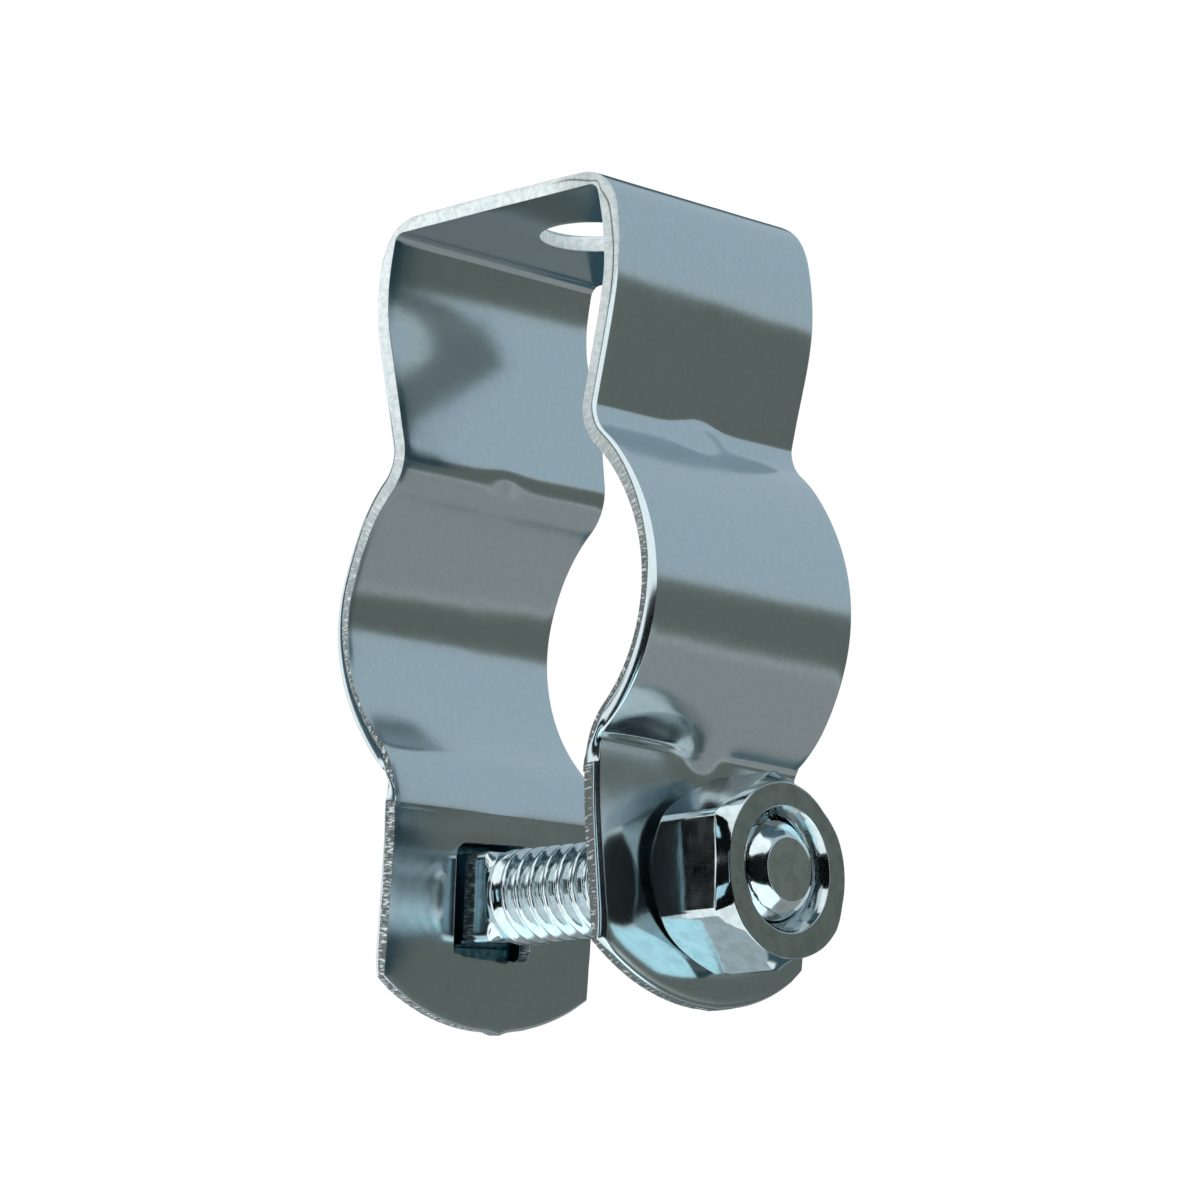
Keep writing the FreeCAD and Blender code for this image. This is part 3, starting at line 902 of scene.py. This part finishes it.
nutZinc = {
    "Light": (0.52, 0.58, 0.6, 1), "Dull": (0.42, 0.48, 0.49, 1), "Patch Scale": 1100,
    "Low Roughness": 0.06, "High Roughness": 0.12, "Fine Relief": 0.05, "Broad Relief": 0.05,
}
# The torn edge's own values: heights and distances in metres, the crack's in units of the UV map
tornEdge = {
    "metal": 0.3,
    "ridgesAlong": 700.0, "ridgesAcross": 160.0, "ridgeStrength": 0.5, "ridgeHeight": 0.00006,
    "speckFrom": (0.3, 0.56),
    # The torn edge turns darker from the first height down to the second, from least to most, towards the
    # colour below, in specks that follow the ridges
    "dirtTop": -0.01, "dirtFoot": -0.036, "dirtLeast": 0.1, "dirtMost": 1.0,
    "dirt": (0.1, 0.12, 0.12, 1),
    # The right leg's edge is darker by the share after the x range, and the crack by the full share, which
    # is painted shade in its recess
    "rightFrom": (0.004, 0.0075), "rightDirt": 0.3,
    "crackAt": 0.0048, "crackHalf": 0.0011, "crackDark": 1.0,
}


def makeTornZinc(name, values, s):
    # Torn edge: ridges across the edge as dark lines and relief, and a darker tone that grows down the strap
    material = makeZinc(name, values, s["metal"])
    nodes, (add, feed) = material.node_tree.nodes, nodeTools(material.node_tree)

    def combine(operation, a, b, **settings):
        return add("Math", {0: a, 1: b}, operation=operation, **settings), "Value"

    group = next(n for n in nodes if n.type == "GROUP")
    uv = add("UVMap", uv_map="surface"), "UV"
    place = add("SeparateXYZ", {"Vector": (add("TexCoord"), "Object")})
    stretch = add("Mapping", {"Vector": uv, "Scale": (s["ridgesAlong"], s["ridgesAcross"], 1)})
    ridge = add("TexNoise", {"Vector": (stretch, "Vector"), "Scale": 1, "Detail": 3}), "Fac"
    # Darker towards the bottom of the strap, in specks along the ridges
    low = softRange(add, (place, "Z"), s["dirtTop"], s["dirtFoot"], s["dirtLeast"], s["dirtMost"])
    dirt = combine("MULTIPLY", low, softRange(add, ridge, *s["speckFrom"]))
    # The right side is greyer, and dark along the crack between the roll and the torn land, where the dark
    # line is painted shade in the crack's recess
    right = softRange(add, (place, "X"), *s["rightFrom"])
    fromCrack = combine("SUBTRACT", (add("SeparateXYZ", {"Vector": uv}), "Y"), s["crackAt"])
    off = add("Math", {0: fromCrack}, operation="ABSOLUTE"), "Value"
    crack = softRange(add, off, 0, s["crackHalf"], s["crackDark"], s["rightDirt"])
    allDarkening = combine("ADD", dirt, combine("MULTIPLY", right, crack), use_clamp=True)
    tint = add("Mix", {"Factor": allDarkening, "A": (group, "Colour"), "B": s["dirt"]}, data_type="RGBA")
    bump = add("Bump", {"Strength": s["ridgeStrength"], "Distance": s["ridgeHeight"], "Height": ridge,
                        "Normal": (group, "Normal")})
    feed(nodes["Principled BSDF"], {"Base Color": (tint, "Result"), "Normal": (bump, "Normal")})
    return material


def plated(piece, *finishes):
    for material in finishes:
        piece.data.materials.append(material)
    print(piece.name, len(piece.data.polygons), "faces")
    return piece


torn = makeTornZinc("shearedZinc", edgeZinc, tornEdge)
strapPiece = plated(makeStrap(strap), makeZinc("stripZinc", stripZinc), torn)
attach(strapPiece, "strap")
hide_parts("strap")

boltPiece = plated(makeBolt(bolt), makeZinc("boltZinc", boltZinc), makeZinc("underHeadZinc", underHeadShadeZinc))
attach(boltPiece, "bolt")
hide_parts("carriage_bolt")

nutPiece = plated(makeNut(nut), makeZinc("nutZinc", nutZinc))
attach(nutPiece, "nut")
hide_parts("hex_nut")

# Studio

black = [(0.001, 0.002, 0.002)]
studio = {
    "tentRadius": 450.0,
    "tentSteps": (241, 181),
    "centre": (0.0, 0.0, -27.0),
    "base": (1.45, 1.5, 1.5),
    # Cards on the tent's wall: azimuths from and to, elevations from and to, soft edge, all in degrees,
    # and colour
    "cards": [
        (8, 165, 10.5, 80, 5, (0.54, 0.65, 0.72)),
        (20, 150, -15, 10.5, 4, (0.175, 0.195, 0.175)),
        (30, 165, -70, -15, 5, (0.39, 0.4, 0.395)),
        (84, 140, -65, -30, 8, (0.07, 0.14, 0.17)),
        (118, 168, -32, 48, 12, (0.04, 0.085, 0.11)),
        (150, 185, 28, 62, 8, (0.06, 0.12, 0.15)),
        (-185, -164, 28, 62, 8, (0.06, 0.12, 0.15)),
        (140, 185, -72, -33, 8, (0.54, 0.63, 0.67)),
        (-185, -136, 20, 66, 6, (0.06, 0.12, 0.15)),
        (-25, 30, -75, -28, 8, (1.5, 2.15, 2.3)),
    ],
    # Cards that hang between the tent and the clamp, and clear of it: corners, and one colour or four.
    # They glow on one side only, and the corners run anticlockwise as the lit side sees them
    "flags": {
        "overNut": ([(15, -2, -30), (15, 12, -30), (26, 12, -30), (26, -2, -30)],
                    [(0.04, 0.08, 0.1), (0.05, 0.1, 0.12), (0.12, 0.2, 0.24), (0.12, 0.2, 0.24)]),
        "nutFront": ([(62, -30, -62), (4, -30, -62), (4, -30, -26), (62, -30, -26)], black),
        "tabSide": ([(48, 8, -62), (48, -30, -62), (48, -30, -26), (48, 8, -26)], black),
        "nutSide": ([(-4.5, -30, -50), (-11.5, -30, -50), (-11.5, -30, -29), (-4.5, -30, -29)], black),
        "threadTop": ([(-10.5, -25, -38.8), (-45, -25, -42.5), (-45, -25, -8), (-10.5, -25, -8)],
                      [(0.05, 0.1, 0.125), (0.05, 0.1, 0.125), (0.09, 0.16, 0.19), (0.09, 0.16, 0.19)]),
        "threadGlow": ([(20, -25, -50), (14, -25, -50), (14, -25, -38), (20, -25, -38)], [(0.7, 1.1, 1.27)]),
    },
    "floorDrop": 550.0,
    "floorHalf": 4000.0,
    "floorColour": (0.9, 0.9, 0.9, 1),
    "floorRoughness": 0.8,
    "floorGlow": 0.85,  # share of plain white that the camera and reflections see on the floor
}


def makeCardGlow():
    # Painted colours that glow on a card's front, and nothing on its back
    material, nodes, add = newMaterial("cards")[:3]
    nodes.clear()
    glow = add("Emission", {"Color": (add("Attribute", attribute_name="cards"), "Color")})
    mix = add("MixShader", {"Fac": (add("NewGeometry"), "Backfacing"), 1: (glow, "Emission"),
                            2: (add("BsdfTransparent"), "BSDF")})
    add("OutputMaterial", {"Surface": (mix, "Shader")})
    return material


cardGlow = makeCardGlow()


def hangCard(name, points, faces, colours):
    # A card with a colour at each point, which only reflections see
    mesh = bpy.data.meshes.new(name)
    mesh.from_pydata(points.tolist(), [], faces)
    paint = mesh.color_attributes.new("cards", "FLOAT_COLOR", "POINT")
    rgba = np.concatenate([np.broadcast_to(colours, points.shape), np.ones((len(points), 1))], axis=1)
    paint.data.foreach_set("color", rgba.astype(np.float32).ravel())
    mesh.materials.append(cardGlow)
    card = placeObject(name, mesh)
    for ray in ("visible_camera", "visible_diffuse", "visible_shadow", "visible_transmission"):
        setattr(card, ray, False)


def makeTent(s):
    # Sphere of directions; each card covers the last by a product of soft steps in azimuth and elevation
    across, up = s["tentSteps"]
    az, el = np.meshgrid(np.linspace(-180, 180, across), np.linspace(-89.5, 89.5, up))
    colours = np.ones(az.shape + (3,)) * np.array(s["base"])
    for azFrom, azTo, elFrom, elTo, soft, colour in s["cards"]:
        inside = 1.0
        for past in (az - azFrom, azTo - az, el - elFrom, elTo - el):
            inside = inside * ease(past / soft + 0.5)
        colours += (np.array(colour) - colours) * inside[..., None]
    a, e = np.radians(az), np.radians(el)
    way = np.stack([np.cos(e) * np.cos(a), np.cos(e) * np.sin(a), np.sin(e)], axis=-1)
    points = way * (s["tentRadius"] * mm) + np.array(s["centre"]) * mm
    faces = gridFaces(np.arange(a.size).reshape(a.shape)).reshape(-1, 4)
    hangCard("tent", points.reshape(-1, 3), faces.tolist(), colours.reshape(-1, 3))


def makeFloor(s):
    # Pale where it is lit, and near white where the camera or a reflection looks at it
    half, drop = s["floorHalf"] * mm, -s["floorDrop"] * mm
    mesh = bpy.data.meshes.new("floor")
    corners = [(-half, -half, drop), (half, -half, drop), (half, half, drop), (-half, half, drop)]
    mesh.from_pydata(corners, [], [(0, 1, 2, 3)])
    floor = placeObject("floor", mesh)
    material, nodes, add, feed = newMaterial("paleFloor")
    shader, path = nodes["Principled BSDF"], add("LightPath")
    feed(shader, {"Base Color": s["floorColour"], "Roughness": s["floorRoughness"]})
    seen = add("Math", {0: (path, "Is Camera Ray"), 1: (path, "Is Glossy Ray")}, operation="MAXIMUM")
    share = add("Math", {0: (seen, "Value"), 1: s["floorGlow"]}, operation="MULTIPLY")
    mix = add("MixShader", {"Fac": (share, "Value"), 1: (shader, "BSDF"), 2: (add("Emission"), "Emission")})
    feed(nodes["Material Output"], {"Surface": (mix, "Shader")})
    mesh.materials.append(material)


def makeWorld():
    world = bpy.data.worlds.new("studio")
    bpy.context.scene.world = world
    world.use_nodes = True
    background = world.node_tree.nodes["Background"]
    background.inputs["Color"].default_value = (1, 1, 1, 1)
    background.inputs["Strength"].default_value = 1


makeTent(studio)
for flag, (corners, colours) in studio["flags"].items():
    hangCard(flag, np.array(corners) * mm, [(0, 1, 2, 3)], colours)
makeFloor(studio)
makeWorld()
bpy.context.scene.view_settings.view_transform = "Standard"
print("studio ready")
